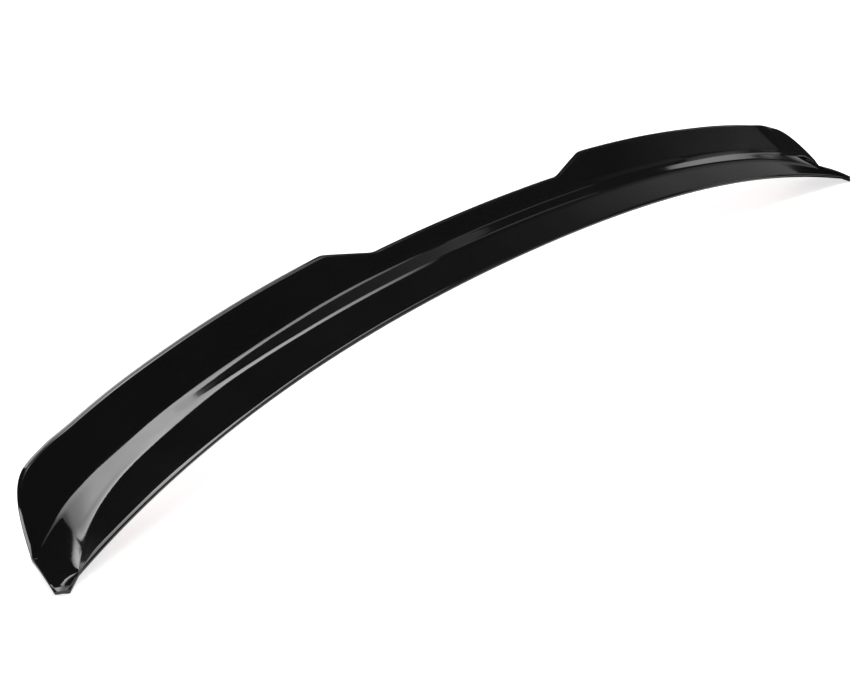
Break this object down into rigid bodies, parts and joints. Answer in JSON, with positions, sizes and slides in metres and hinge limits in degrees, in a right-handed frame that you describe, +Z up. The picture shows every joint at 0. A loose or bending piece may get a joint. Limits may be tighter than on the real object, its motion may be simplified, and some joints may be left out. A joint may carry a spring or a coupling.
{
  "type": "car rear spoiler",
  "caption": "Long bowed lip spoiler for a boot lid: low flange, cove and raised blade with a lowered middle, gloss black, ribbed hollow underside with bonding tapes.",
  "frame": {"origin": "foot of the front edge at mid-span, on the surface that is bonded to the boot lid", "axes": "+X across the car, +Y towards the rear, +Z up, as fitted on a level lid"},
  "size_m": [1.3114, 0.142, 0.1202],
  "materials": {
    "gloss_black": "gloss",
    "tape_foam": "matte",
    "liner_film": "satin"
  },
  "bodies": {
    "root": {"spoiler_shell": "gloss_black", "tape_front_left": "tape_foam", "tape_front_right": "tape_foam", "tape_rear_left": "tape_foam", "tape_rear_right": "tape_foam", "liner_front_left": "liner_film", "liner_front_right": "liner_film", "liner_rear_left": "liner_film", "liner_rear_right": "liner_film"}
  },
  "joints": []
}
